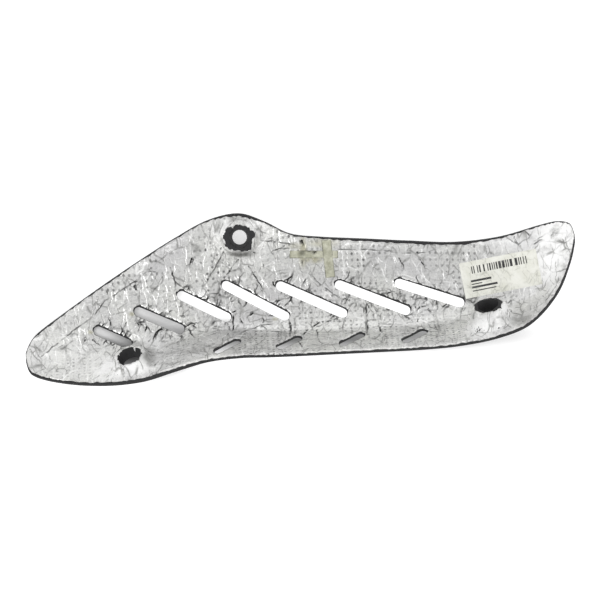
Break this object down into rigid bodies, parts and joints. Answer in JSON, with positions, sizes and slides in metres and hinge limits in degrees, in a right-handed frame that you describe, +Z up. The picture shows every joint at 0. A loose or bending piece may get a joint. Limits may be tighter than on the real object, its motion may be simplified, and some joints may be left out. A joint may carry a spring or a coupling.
{
  "type": "exhaust heat shield",
  "caption": "Curved exhaust heat shield: a moulded laminate shell with angled vent slots and bolt bosses, lined with wrinkled aluminium foil.",
  "frame": {"origin": "middle of the outline in plan, at the level of the surface that the shield lies on", "axes": "+X along the shield towards its raised right tip, +Y from the side wall to the edge with the single upper boss, +Z up, out of the foil-lined side"},
  "size_m": [0.3648, 0.1138, 0.0391],
  "materials": {
    "laminate": "black woven laminate, clear coated on the outer side, bare at the cut edges",
    "foil": "wrinkled self-adhesive foil, satin",
    "label_paper": "thin cream paper, slightly wrinkled",
    "old_tape": "yellowed, semi-transparent"
  },
  "bodies": {
    "root": {"shell": "laminate", "foil_lining": "foil", "label": "label_paper", "tape_along": "old_tape", "tape_across": "old_tape"}
  },
  "joints": []
}
